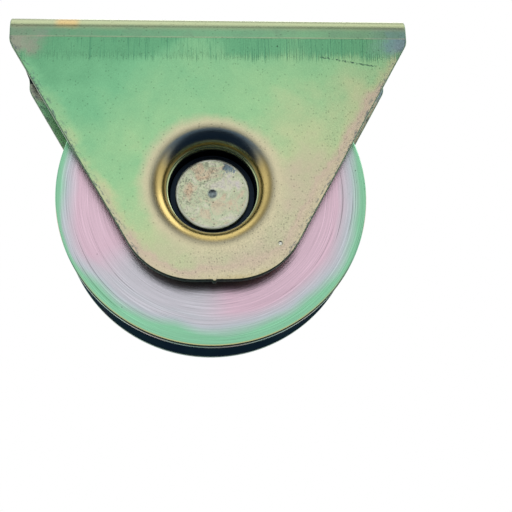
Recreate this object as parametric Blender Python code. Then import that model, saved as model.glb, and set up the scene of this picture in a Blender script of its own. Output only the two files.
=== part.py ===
"""Gate wheel: a V-groove wheel on a ball bearing in a bracket of two bent and dished side plates.

Origin: centre of the base's top face, which bolts under the gate.
+X runs along the bracket, +Y along the axle, +Z up towards the gate.
"""

import math

import bmesh
import bpy
from mathutils import Matrix, Vector

MM = 0.001

# Bracket
SHEET = 3.0 * MM
BRACKET_LENGTH = 129.5 * MM
BRACKET_WIDTH = 40.5 * MM
FRONT_BEND = 5.0 * MM
REAR_BEND = 4.5 * MM
BASE_REAR_MARGIN = 0.75 * MM
FOOT_WIDTH = 7.5 * MM
SLANT_START = 9.95 * MM
SLANT_ANGLE = math.radians(60.4)
TOP_CORNER_RADIUS = 5.0 * MM
PLATE_BOTTOM = 89.45 * MM
BOTTOM_RADIUS = 23.7 * MM
NIB_WIDTH = 1.6 * MM
NIB_HEIGHT = 0.5 * MM

# Slotted holes in the base
SLOT_WIDTH = 11.5 * MM
SLOT_LENGTH = 14.0 * MM
SLOT_OFFSET = 52.5 * MM

# Axle and the dished seats of its riveted heads, depths from a side plate's outer face
AXLE_DROP = 58.55 * MM
DISH_RADIUS = 21.95 * MM
DISH_ROUNDING = 11.8 * MM
DISH_LEAN = math.radians(20.0)
SEAT_RADIUS = 14.3 * MM
SEAT_DRAFT = 0.4 * MM
SEAT_DEPTH = 11.65 * MM
SEAT_WALL = 2.5 * MM
SEAT_FLOOR = 2.4 * MM
SEAT_FILLET = 0.5 * MM
SPIGOT_RADIUS = 7.0 * MM
SPIGOT_CLEARANCE = 0.2 * MM
HEAD_RADIUS = 12.06 * MM
HEAD_DEPTH = 9.9 * MM
HEAD_GAP = 0.15 * MM
HEAD_CHAMFER = 0.3 * MM
CENTRE_RADIUS = 1.3 * MM
CENTRE_DEPTH = 0.8 * MM
CENTRE_TIP_RADIUS = 0.2 * MM

# Wheel
WHEEL_RADIUS = 50.0 * MM
WHEEL_WIDTH = 23.4 * MM
GROOVE_WIDTH = 18.2 * MM
GROOVE_ROUNDING = 1.4 * MM
RIM_CHAMFER = 0.4 * MM
SHOULDER_RADIUS = 18.0 * MM
SNAP_GROOVE_RADIUS = 21.2 * MM
SNAP_RING_INNER = 17.7 * MM
SNAP_RING_OUTER = 21.0 * MM
SNAP_RING_THICKNESS = 1.0 * MM
SNAP_RING_GAP = math.radians(24.0)

# Bearing: 17 mm bore, 40 mm outside, 12 mm wide
BEARING_BORE = 8.5 * MM
BEARING_RADIUS = 20.0 * MM
BEARING_WIDTH = 12.0 * MM
PITCH_RADIUS = 14.25 * MM
BALL_RADIUS = 3.3 * MM
BALL_COUNT = 8
RACE_RADIUS = 3.5 * MM
RACE_CLEARANCE = 0.2 * MM
INNER_SHOULDER = 12.2 * MM
OUTER_SHOULDER = 16.5 * MM
SHIELD_SEAT_RADIUS = 17.2 * MM
SHIELD_SEAT_DEPTH = 1.5 * MM
SHIELD_INNER = 12.6 * MM
SHIELD_THICKNESS = 0.4 * MM
CAGE_INNER = 12.9 * MM
CAGE_OUTER = 15.6 * MM
CAGE_THICKNESS = 0.6 * MM
CAGE_OFFSET = 0.45 * MM
CAGE_POCKET = 3.85 * MM
RIVET_RADIUS = 0.55 * MM
RIVET_HOLE = 0.7 * MM
RIVET_HEAD_RADIUS = 1.0 * MM
RIVET_HEAD_HEIGHT = 0.4 * MM

# Weld beads behind the base, whose section starts and ends at angles round the rear plate's bend
BEAD_LENGTH = 26.0 * MM
BEAD_OFFSET = 36.0 * MM
BEAD_START = math.radians(60.0)
BEAD_END = math.radians(28.0)
BEAD_SHOULDER = 0.7 * MM

# Gap kept between pieces that touch, and the smaller one between fitted rings
TOUCH_GAP = 0.3 * MM
FIT_GAP = 0.15 * MM

# Facets
ROUND_STEPS = 32
WHEEL_STEPS = 48
ARC_STEPS = 4
FILLET_STEPS = 3
POCKET_STEPS = 8
RIVET_STEPS = 8

AXLE = Vector((0.0, 0.0, -AXLE_DROP))
HALF_WIDTH = BRACKET_WIDTH / 2
SMOOTH_ANGLE = math.radians(35.0)


def clear_scene():
    for obj in list(bpy.data.objects):
        bpy.data.objects.remove(obj, do_unlink=True)


def make_material(name, colour, roughness, metallic):
    material = bpy.data.materials.new(name)
    material.use_nodes = True
    shader = material.node_tree.nodes["Principled BSDF"]
    shader.inputs["Base Color"].default_value = (*colour, 1.0)
    shader.inputs["Roughness"].default_value = roughness
    shader.inputs["Metallic"].default_value = metallic
    return material


def add_object(name, bm, finish, parent=None, location=(0.0, 0.0, 0.0)):
    """Turn a bmesh into a named object with its own material."""
    bmesh.ops.recalc_face_normals(bm, faces=bm.faces)
    mesh = bpy.data.meshes.new(name)
    bm.to_mesh(mesh)
    bm.free()
    mesh.shade_smooth()
    mesh.set_sharp_from_angle(angle=SMOOTH_ANGLE)
    mesh.materials.append(make_material(name, *finish))
    obj = bpy.data.objects.new(name, mesh)
    bpy.context.collection.objects.link(obj)
    obj.parent = parent
    obj.location = location
    return obj


def arc(centre, radius, start, end, steps=ARC_STEPS):
    """Points on an arc in the plane of a profile, both ends included."""
    points = []
    for step in range(steps + 1):
        angle = start + (end - start) * step / steps
        points.append((centre[0] + radius * math.cos(angle), centre[1] + radius * math.sin(angle)))
    return points


def turn(profile, steps, closed=True):
    """Turn a profile of (radius, y) points about the Y axis; an open one gets flat end caps."""
    bm = bmesh.new()
    rings = []
    for radius, y in profile:
        ring = []
        for step in range(steps):
            angle = math.tau * step / steps
            ring.append(bm.verts.new((radius * math.cos(angle), y, radius * math.sin(angle))))
        rings.append(ring)
    pairs = list(zip(rings, rings[1:]))
    if closed:
        pairs.append((rings[-1], rings[0]))
    for first, second in pairs:
        for step in range(steps):
            after = (step + 1) % steps
            bm.faces.new((first[step], first[after], second[after], second[step]))
    if not closed:
        bm.faces.new(rings[0])
        bm.faces.new(rings[-1])
    return bm


# Bracket pressings


def plate_outline(top):
    """Side plate from its bend line at z=top: slanted sides, round bottom corners and a shear nib."""
    half = BRACKET_LENGTH / 2
    reach = PLATE_BOTTOM - SLANT_START
    corner_x = half - reach / math.tan(SLANT_ANGLE)
    tangent = BOTTOM_RADIUS * math.tan(SLANT_ANGLE / 2)
    centre = (corner_x - tangent, BOTTOM_RADIUS - PLATE_BOTTOM)
    slant_normal = SLANT_ANGLE - math.pi / 2
    top_drop = TOP_CORNER_RADIUS * math.tan(-slant_normal / 2)
    top_centre = (half - TOP_CORNER_RADIUS, top_drop - SLANT_START)
    side = [(half, top)]
    side += arc(top_centre, TOP_CORNER_RADIUS, 0.0, slant_normal, FILLET_STEPS)
    side += arc(centre, BOTTOM_RADIUS, slant_normal, -math.pi / 2, 2 * ARC_STEPS)
    side.append((NIB_WIDTH / 2, -PLATE_BOTTOM))
    side.append((NIB_WIDTH / 4, -PLATE_BOTTOM - NIB_HEIGHT))
    return side + [(-x, z) for x, z in reversed(side)]


def slot_outline(centre_x):
    radius = SLOT_WIDTH / 2
    shift = (SLOT_LENGTH - SLOT_WIDTH) / 2
    right = arc((centre_x + shift, 0.0), radius, -math.pi / 2, math.pi / 2, 2 * ARC_STEPS)
    left = arc((centre_x - shift, 0.0), radius, math.pi / 2, 3 * math.pi / 2, 2 * ARC_STEPS)
    return right + left


def dish_profiles():
    """Outer and inner faces of the dished seat as (radius, depth) points, ring by ring."""
    # The plate leans gently into the dish, then a tighter throat turns it straight into the seat
    centre = (DISH_RADIUS, DISH_ROUNDING)
    start = -math.pi / 2
    lean = start - DISH_LEAN
    outer = arc(centre, DISH_ROUNDING, start, lean)
    inner = arc(centre, DISH_ROUNDING - SHEET, start, lean)
    lean_radius, lean_depth = outer[-1]
    throat = (lean_radius - SEAT_RADIUS) / (1.0 - math.sin(DISH_LEAN))
    centre = (SEAT_RADIUS + throat, lean_depth + throat * math.cos(DISH_LEAN))
    outer += arc(centre, throat, lean, -math.pi)[1:]
    inner += arc(centre, throat - SHEET, lean, -math.pi)[1:]

    floor = SEAT_DEPTH + SEAT_FLOOR
    outer_foot = SEAT_RADIUS - SEAT_DRAFT
    inner_foot = SEAT_RADIUS + SEAT_WALL - SEAT_DRAFT
    inner_fillet = SEAT_FILLET + SEAT_WALL / 2
    outer_centre = (outer_foot - SEAT_FILLET, SEAT_DEPTH - SEAT_FILLET)
    inner_centre = (inner_foot - inner_fillet, floor - inner_fillet)
    outer += arc(outer_centre, SEAT_FILLET, 0.0, math.pi / 2, FILLET_STEPS)
    inner += arc(inner_centre, inner_fillet, 0.0, math.pi / 2, FILLET_STEPS)
    hole = SPIGOT_RADIUS + SPIGOT_CLEARANCE
    outer.append((hole, SEAT_DEPTH))
    inner.append((hole, floor))
    return outer, inner


class Sheet:
    """Outer face of a pressing, where each point knows the point across the sheet."""

    def __init__(self):
        self.bm = bmesh.new()
        self.across = {}

    def point(self, outer, inner):
        vert = self.bm.verts.new(outer)
        self.across[vert] = inner
        return vert

    def loop(self, verts):
        edges = []
        for first, second in zip(verts, verts[1:] + verts[:1]):
            edges.append(self.bm.edges.get((first, second)) or self.bm.edges.new((first, second)))
        return edges

    def fill(self, loops, normal):
        edges = [edge for verts in loops for edge in self.loop(verts)]
        bmesh.ops.triangle_fill(self.bm, edges=edges, use_beauty=True, normal=normal)

    def strip(self, first, second, wrap):
        count = len(first) if wrap else len(first) - 1
        for step in range(count):
            after = (step + 1) % len(first)
            self.bm.faces.new((first[step], first[after], second[after], second[step]))

    def close(self):
        """Add the face across the sheet and the sheared edges round every border."""
        faces = list(self.bm.faces)
        borders = [edge.verts[:] for edge in self.bm.edges if len(edge.link_faces) == 1]
        twin = {vert: self.bm.verts.new(place) for vert, place in self.across.items()}
        for face in faces:
            self.bm.faces.new([twin[vert] for vert in reversed(face.verts)])
        for first, second in borders:
            self.bm.faces.new((first, second, twin[second], twin[first]))
        return self.bm


def bent_plate(inward, top, bend, leaf_end, slots):
    """Side plate with its dish, the bend above it, and the leaf that runs across the bracket."""
    face_y = -inward * HALF_WIDTH
    half = BRACKET_LENGTH / 2
    sheet = Sheet()

    def plate_point(x, z, outer_depth=0.0, inner_depth=SHEET, inner_xz=None):
        inner_x, inner_z = inner_xz or (x, z)
        outer = (x, face_y + inward * outer_depth, z)
        return sheet.point(outer, (inner_x, face_y + inward * inner_depth, inner_z))

    outline = [plate_point(x, z) for x, z in plate_outline(top - bend)]
    rings = []
    for (radius, depth), (back_radius, back_depth) in zip(*dish_profiles()):
        ring = []
        for step in range(ROUND_STEPS):
            angle = math.tau * step / ROUND_STEPS
            cos, sin = math.cos(angle), math.sin(angle)
            back = (back_radius * cos, AXLE.z + back_radius * sin)
            ring.append(plate_point(radius * cos, AXLE.z + radius * sin, depth, back_depth, back))
        rings.append(ring)
    sheet.fill([outline, rings[0]], (0.0, -inward, 0.0))
    for first, second in zip(rings, rings[1:]):
        sheet.strip(first, second, wrap=True)

    line = [outline[0], outline[-1]]
    for step in range(1, ARC_STEPS + 1):
        angle = math.pi / 2 * step / ARC_STEPS
        ends = []
        for x in (half, -half):
            places = []
            for radius in (bend, bend - SHEET):
                y = face_y + inward * (bend - radius * math.cos(angle))
                places.append((x, y, top - bend + radius * math.sin(angle)))
            ends.append(sheet.point(*places))
        sheet.strip(line, ends, wrap=False)
        line = ends

    far = [sheet.point((x, leaf_end, top), (x, leaf_end, top - SHEET)) for x in (-half, half)]
    loops = [line + far]
    for centre_x in slots:
        loops.append([sheet.point((x, y, top), (x, y, top - SHEET)) for x, y in slot_outline(centre_x)])
    sheet.fill(loops, (0.0, 0.0, 1.0))
    return sheet.close()


def build_bracket(finish):
    base_end = HALF_WIDTH - BASE_REAR_MARGIN
    slots = (-SLOT_OFFSET, SLOT_OFFSET)
    add_object("main_bracket", bent_plate(1, 0.0, FRONT_BEND, base_end, slots), finish)
    foot_top = -SHEET - TOUCH_GAP
    foot_end = HALF_WIDTH - FOOT_WIDTH
    add_object("rear_plate", bent_plate(-1, foot_top, REAR_BEND, foot_end, ()), finish)


def build_weld_beads(finish):
    """Short beads in the flare between the base's rear edge and the rear plate's bend."""
    under_base = -SHEET - TOUCH_GAP
    bend_centre = (HALF_WIDTH - REAR_BEND, under_base - REAR_BEND)
    section = arc(bend_centre, REAR_BEND + TOUCH_GAP, BEAD_START, BEAD_END, FILLET_STEPS)
    section.append((HALF_WIDTH, bend_centre[1] + REAR_BEND / 2))
    section.append((HALF_WIDTH, under_base - BEAD_SHOULDER))
    section.append((HALF_WIDTH - BASE_REAR_MARGIN, under_base))
    for label, centre_x in (("left", -BEAD_OFFSET), ("right", BEAD_OFFSET)):
        bm = bmesh.new()
        verts = [bm.verts.new((-BEAD_LENGTH / 2, y, z)) for y, z in section]
        face = bm.faces.new(verts)
        moved = bmesh.ops.extrude_face_region(bm, geom=[face])["geom"]
        new_verts = [item for item in moved if isinstance(item, bmesh.types.BMVert)]
        bmesh.ops.translate(bm, verts=new_verts, vec=(BEAD_LENGTH, 0.0, 0.0))
        add_object("weld_bead_" + label, bm, finish, location=(centre_x, 0.0, 0.0))


# Axle


def axle_profile():
    """Half of the axle, from the centre mark in its head to the middle of the bearing seat."""
    face = HEAD_DEPTH - HALF_WIDTH
    back = SEAT_DEPTH - HEAD_GAP - HALF_WIDTH
    shoulder = -BEARING_WIDTH / 2
    return [
        (CENTRE_TIP_RADIUS, face + CENTRE_DEPTH),
        (CENTRE_RADIUS, face),
        (HEAD_RADIUS - HEAD_CHAMFER, face),
        (HEAD_RADIUS, face + HEAD_CHAMFER),
        (HEAD_RADIUS, back),
        (SPIGOT_RADIUS, back),
        (SPIGOT_RADIUS, shoulder),
        (BEARING_BORE - FIT_GAP, shoulder),
    ]


def build_axle(finish):
    front = axle_profile()
    rear = [(radius, -y) for radius, y in reversed(front)]
    add_object("axle_pin", turn(front + rear, ROUND_STEPS, closed=False), finish, location=AXLE)


# Wheel


def wheel_profile():
    half = WHEEL_WIDTH / 2
    groove = GROOVE_WIDTH / 2
    bearing_half = BEARING_WIDTH / 2
    bore = BEARING_RADIUS + FIT_GAP
    tip = WHEEL_RADIUS - groove + GROOVE_ROUNDING * math.sqrt(2)
    snap_start = bearing_half + FIT_GAP
    snap_end = snap_start + SNAP_RING_THICKNESS + 2 * FIT_GAP
    bottom = arc((tip, 0.0), GROOVE_ROUNDING, 5 * math.pi / 4, 3 * math.pi / 4)
    return [
        (SHOULDER_RADIUS, -half),
        (WHEEL_RADIUS - RIM_CHAMFER, -half),
        (WHEEL_RADIUS, -half + RIM_CHAMFER),
        (WHEEL_RADIUS, -groove),
        *bottom,
        (WHEEL_RADIUS, groove),
        (WHEEL_RADIUS, half - RIM_CHAMFER),
        (WHEEL_RADIUS - RIM_CHAMFER, half),
        (bore, half),
        (bore, snap_end),
        (SNAP_GROOVE_RADIUS, snap_end),
        (SNAP_GROOVE_RADIUS, snap_start),
        (bore, snap_start),
        (bore, -bearing_half - FIT_GAP),
        (SHOULDER_RADIUS, -bearing_half - FIT_GAP),
    ]


def build_wheel(finish, hub):
    add_object("v_groove_wheel", turn(wheel_profile(), WHEEL_STEPS), finish, parent=hub)


def build_snap_ring(finish, hub):
    """Plain open ring of flat spring steel in the hub's groove."""
    start = SNAP_RING_GAP / 2 - math.pi / 2
    end = start + math.tau - SNAP_RING_GAP
    outline = arc((0.0, 0.0), SNAP_RING_OUTER, start, end, ROUND_STEPS)
    outline += arc((0.0, 0.0), SNAP_RING_INNER, end, start, ROUND_STEPS)
    near = BEARING_WIDTH / 2 + 2 * FIT_GAP
    bm = bmesh.new()
    first = [bm.verts.new((x, near, z)) for x, z in outline]
    second = [bm.verts.new((x, near + SNAP_RING_THICKNESS, z)) for x, z in outline]
    count = len(outline)
    for step in range(count):
        after = (step + 1) % count
        bm.faces.new((first[step], first[after], second[after], second[step]))
    for ring in (first, second):
        for step in range(count // 2 - 1):
            mirror = count - 1 - step
            bm.faces.new((ring[step], ring[step + 1], ring[mirror - 1], ring[mirror]))
    add_object("snap_ring", bm, finish, parent=hub)


# Bearing


def race(side):
    """Race groove of a ring, as an arc open towards the balls; side is -1 inner, +1 outer."""
    reach = INNER_SHOULDER if side < 0 else OUTER_SHOULDER
    bottom = PITCH_RADIUS + side * (BALL_RADIUS + RACE_CLEARANCE)
    centre = bottom - side * RACE_RADIUS
    spread = math.acos((reach - centre) * side / RACE_RADIUS)
    middle = math.pi if side < 0 else 0.0
    return arc((centre, 0.0), RACE_RADIUS, middle - side * spread, middle + side * spread)


def build_rings(finish, hub):
    half = BEARING_WIDTH / 2
    inner = [(BEARING_BORE, half), (BEARING_BORE, -half), (INNER_SHOULDER, -half)]
    inner += sorted(race(-1), key=lambda point: point[1])
    inner.append((INNER_SHOULDER, half))
    add_object("bearing_inner_ring", turn(inner, ROUND_STEPS), finish, location=AXLE)

    seat = half - SHIELD_SEAT_DEPTH
    outside = BEARING_RADIUS
    outer = [(outside, half), (outside, -half), (SHIELD_SEAT_RADIUS, -half)]
    outer += [(SHIELD_SEAT_RADIUS, -seat), (OUTER_SHOULDER, -seat)]
    outer += sorted(race(1), key=lambda point: point[1])
    outer += [(OUTER_SHOULDER, seat), (SHIELD_SEAT_RADIUS, seat), (SHIELD_SEAT_RADIUS, half)]
    add_object("bearing_outer_ring", turn(outer, WHEEL_STEPS), finish, parent=hub)


def build_shields(finish, hub):
    near = BEARING_WIDTH / 2 - SHIELD_SEAT_DEPTH + FIT_GAP
    far = near + SHIELD_THICKNESS
    outer = SHIELD_SEAT_RADIUS - FIT_GAP
    for label, side in (("front", -1), ("rear", 1)):
        profile = [(SHIELD_INNER, side * near), (outer, side * near)]
        profile += [(outer, side * far), (SHIELD_INNER, side * far)]
        add_object("bearing_shield_" + label, turn(profile, WHEEL_STEPS), finish, parent=hub)


def ball_angle(index):
    return math.tau * index / BALL_COUNT


def build_balls(finish, cage):
    for index in range(BALL_COUNT):
        bm = bmesh.new()
        bmesh.ops.create_icosphere(bm, subdivisions=2, radius=BALL_RADIUS)
        angle = ball_angle(index)
        place = (PITCH_RADIUS * math.cos(angle), 0.0, PITCH_RADIUS * math.sin(angle))
        add_object(f"ball_{index + 1}", bm, finish, parent=cage, location=place)


def ribbon_height(offset):
    """Height of the cage ribbon's middle over the bearing's plane, at a distance along the pitch circle."""
    if abs(offset) >= CAGE_POCKET:
        return CAGE_OFFSET
    return max(CAGE_OFFSET, math.sqrt(CAGE_POCKET ** 2 - offset ** 2))


def cage_half(side):
    """Pressed ribbon that steps over each ball, swept as a rectangle round the pitch circle."""
    steps = BALL_COUNT * POCKET_STEPS
    spacing = math.tau * PITCH_RADIUS / BALL_COUNT
    bm = bmesh.new()
    sections = []
    for step in range(steps):
        offset = ((step / POCKET_STEPS + 0.5) % 1.0 - 0.5) * spacing
        height = ribbon_height(offset)
        angle = math.tau * step / steps
        section = []
        for radius, lift in ((CAGE_INNER, -1), (CAGE_OUTER, -1), (CAGE_OUTER, 1), (CAGE_INNER, 1)):
            y = side * (height + lift * CAGE_THICKNESS / 2)
            section.append(bm.verts.new((radius * math.cos(angle), y, radius * math.sin(angle))))
        sections.append(section)
    for step in range(steps):
        first, second = sections[step], sections[(step + 1) % steps]
        for corner in range(4):
            after = (corner + 1) % 4
            bm.faces.new((first[corner], first[after], second[after], second[corner]))
    return bm


def rivet_places():
    for index in range(BALL_COUNT):
        angle = ball_angle(index + 0.5)
        yield index, (PITCH_RADIUS * math.cos(angle), 0.0, PITCH_RADIUS * math.sin(angle))


def rivet_hole_cutter(cage):
    """One guide object with a peg at each rivet, which the two cage halves are pierced by."""
    bm = bmesh.new()
    upright = Matrix.Rotation(math.pi / 2, 4, "X")
    for _, place in rivet_places():
        bmesh.ops.create_cone(bm, cap_ends=True, segments=RIVET_STEPS, radius1=RIVET_HOLE,
                              radius2=RIVET_HOLE, depth=4 * BALL_RADIUS,
                              matrix=Matrix.Translation(place) @ upright)
    cutter = add_object("rivet_hole_cutter", bm, ((0.5, 0.5, 0.5), 0.5, 0.0), parent=cage)
    cutter.hide_render = True
    cutter.display_type = "WIRE"
    return cutter


def build_cage(finish, cage):
    cutter = rivet_hole_cutter(cage)
    for label, side in (("front", -1), ("rear", 1)):
        half = add_object("cage_half_" + label, cage_half(side), finish, parent=cage)
        holes = half.modifiers.new("rivet holes", "BOOLEAN")
        holes.operation = "DIFFERENCE"
        holes.object = cutter
    top = CAGE_OFFSET + CAGE_THICKNESS / 2 + FIT_GAP
    profile = [(RIVET_HEAD_RADIUS, -top - RIVET_HEAD_HEIGHT), (RIVET_HEAD_RADIUS, -top)]
    profile += [(RIVET_RADIUS, -top), (RIVET_RADIUS, top)]
    profile += [(RIVET_HEAD_RADIUS, top), (RIVET_HEAD_RADIUS, top + RIVET_HEAD_HEIGHT)]
    for index, place in rivet_places():
        rivet = turn(profile, RIVET_STEPS, closed=False)
        add_object(f"cage_rivet_{index + 1}", rivet, finish, parent=cage, location=place)


def add_pivot(name):
    pivot = bpy.data.objects.new(name, None)
    bpy.context.collection.objects.link(pivot)
    pivot.location = AXLE
    return pivot


def main():
    clear_scene()
    zinc = ((0.36, 0.46, 0.28), 0.35, 1.0)
    turned_zinc = ((0.50, 0.45, 0.48), 0.30, 1.0)
    axle_steel = ((0.55, 0.52, 0.38), 0.45, 1.0)
    bearing_steel = ((0.55, 0.56, 0.58), 0.20, 1.0)
    spring_steel = ((0.10, 0.10, 0.11), 0.40, 1.0)

    hub = add_pivot("wheel_pivot")
    cage = add_pivot("cage_pivot")
    build_bracket(zinc)
    build_weld_beads(zinc)
    build_axle(axle_steel)
    build_wheel(turned_zinc, hub)
    build_snap_ring(spring_steel, hub)
    build_rings(bearing_steel, hub)
    build_shields(bearing_steel, hub)
    build_balls(bearing_steel, cage)
    build_cage(bearing_steel, cage)


main()
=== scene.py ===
"""Looks of a gate wheel: a V-groove wheel in a bracket of yellow-chromate zinc-plated steel.

Laid out as an add-on and run as a script. Lengths are metres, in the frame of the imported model.
"""

import math

import bmesh
import bpy
from bpy.props import FloatProperty, FloatVectorProperty, IntProperty, PointerProperty
from mathutils import Matrix, Vector, noise


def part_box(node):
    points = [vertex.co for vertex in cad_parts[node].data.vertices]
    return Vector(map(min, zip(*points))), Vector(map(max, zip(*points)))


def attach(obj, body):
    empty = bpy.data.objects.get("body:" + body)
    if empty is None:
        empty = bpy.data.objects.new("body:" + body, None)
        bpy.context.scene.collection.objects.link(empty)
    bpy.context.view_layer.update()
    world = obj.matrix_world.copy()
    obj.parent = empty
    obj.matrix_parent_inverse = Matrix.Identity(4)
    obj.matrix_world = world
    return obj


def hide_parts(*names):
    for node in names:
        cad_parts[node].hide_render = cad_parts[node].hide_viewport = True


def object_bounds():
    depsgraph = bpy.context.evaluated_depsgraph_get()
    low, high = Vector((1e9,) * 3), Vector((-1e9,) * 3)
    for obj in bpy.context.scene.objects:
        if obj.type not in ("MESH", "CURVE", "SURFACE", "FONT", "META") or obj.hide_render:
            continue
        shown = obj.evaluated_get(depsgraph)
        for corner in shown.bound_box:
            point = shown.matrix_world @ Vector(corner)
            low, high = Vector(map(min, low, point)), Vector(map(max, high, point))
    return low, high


bl_info = {
    "name": "Gate wheel",
    "version": (1, 0, 0),
    "blender": (4, 5, 0),
    "location": "View3D > Sidebar > Gate wheel",
    "description": "Builds the visible pieces, finishes and stage of a V-groove gate wheel",
    "category": "Object",
}

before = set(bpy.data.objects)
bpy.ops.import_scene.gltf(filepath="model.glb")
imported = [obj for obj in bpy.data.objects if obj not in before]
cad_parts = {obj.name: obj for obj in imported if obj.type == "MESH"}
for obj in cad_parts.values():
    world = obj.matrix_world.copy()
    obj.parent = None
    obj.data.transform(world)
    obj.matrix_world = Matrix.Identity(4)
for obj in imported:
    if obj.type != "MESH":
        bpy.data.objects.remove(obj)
CAD_LOW, CAD_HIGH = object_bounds()

MM = 0.001
# Points nearer than this are one point of a seam
SEAM = 1e-6

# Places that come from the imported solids
BRACKET_LOW, BRACKET_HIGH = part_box("main_bracket")
REAR_LOW, REAR_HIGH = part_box("rear_plate")
WHEEL_LOW, WHEEL_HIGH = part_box("v_groove_wheel")
PIN_LOW, PIN_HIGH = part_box("axle_pin")
OUTER_LOW, OUTER_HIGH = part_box("bearing_outer_ring")
INNER_LOW, INNER_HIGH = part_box("bearing_inner_ring")
SHIELD_LOW, SHIELD_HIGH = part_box("bearing_shield_rear")
SNAP_LOW, SNAP_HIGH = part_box("snap_ring")
RIVET_LOW, RIVET_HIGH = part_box("cage_rivet_1")
BALL_LOW, BALL_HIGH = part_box("ball_1")

HALF_LENGTH = BRACKET_HIGH.x
AXLE_Z = (WHEEL_LOW.z + WHEEL_HIGH.z) / 2
WHEEL_RADIUS = WHEEL_HIGH.x
WHEEL_HALF = WHEEL_HIGH.y
BEARING_HALF = OUTER_HIGH.y
PITCH_RADIUS = (BALL_LOW.x + BALL_HIGH.x) / 2
BALL_RADIUS = (BALL_HIGH.z - BALL_LOW.z) / 2
BALL_COUNT = sum(name.startswith("ball_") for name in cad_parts)


def to_linear(hex_colour):
    """Linear values of an sRGB colour such as #88C090."""
    values = [int(hex_colour[start:start + 2], 16) / 255 for start in (1, 3, 5)]
    return tuple(v / 12.92 if v <= 0.04045 else ((v + 0.055) / 1.055) ** 2.4 for v in values)


def length_property(name, description, millimetres):
    return FloatProperty(
        name=name, description=description, default=millimetres * MM, unit="LENGTH", precision=5
    )


def angle_property(name, description, degrees):
    return FloatProperty(name=name, description=description, default=math.radians(degrees), subtype="ANGLE")


def colour_property(name, description, hex_colour):
    return FloatVectorProperty(
        name=name, description=description, default=to_linear(hex_colour), subtype="COLOR", min=0.0, max=1.0
    )


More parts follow.
